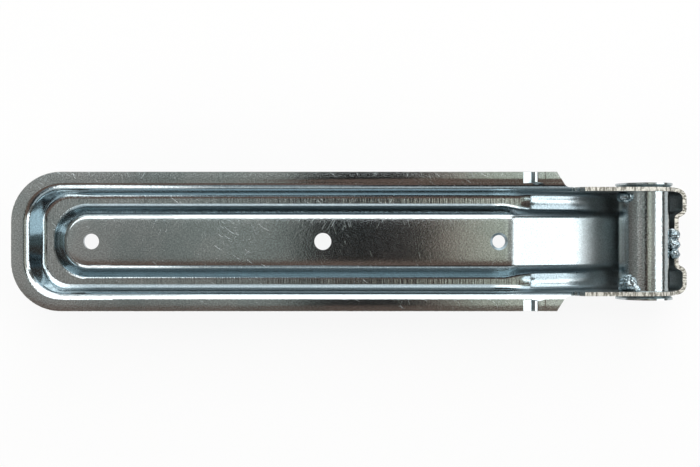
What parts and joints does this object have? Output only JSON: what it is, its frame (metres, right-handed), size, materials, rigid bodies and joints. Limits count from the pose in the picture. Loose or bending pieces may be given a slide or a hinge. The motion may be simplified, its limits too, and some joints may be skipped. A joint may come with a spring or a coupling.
{
  "type": "trailer side hinge",
  "caption": "Long pressed steel strap hinge leaf for a trailer drop side, with a flared barrel tube welded between two ears at its curled end and screw holes down the middle.",
  "frame": {"origin": "middle of the barrel tube's axis", "axes": "+X from the strap towards the curled end, +Y along the barrel, +Z the side that lies on the board"},
  "size_m": [0.3411, 0.0698, 0.0364],
  "materials": {
    "strap_zinc": "bright zinc plating on pressed sheet steel",
    "tube_zinc": "bright zinc plating on drawn tube",
    "weld_zinc": "zinc plating over a rippled weld bead"
  },
  "bodies": {
    "root": {"strap": "strap_zinc", "barrel_tube": "tube_zinc", "weld_bead_upper": "weld_zinc", "weld_bead_lower": "weld_zinc", "weld_bead_front": "weld_zinc"}
  },
  "joints": []
}
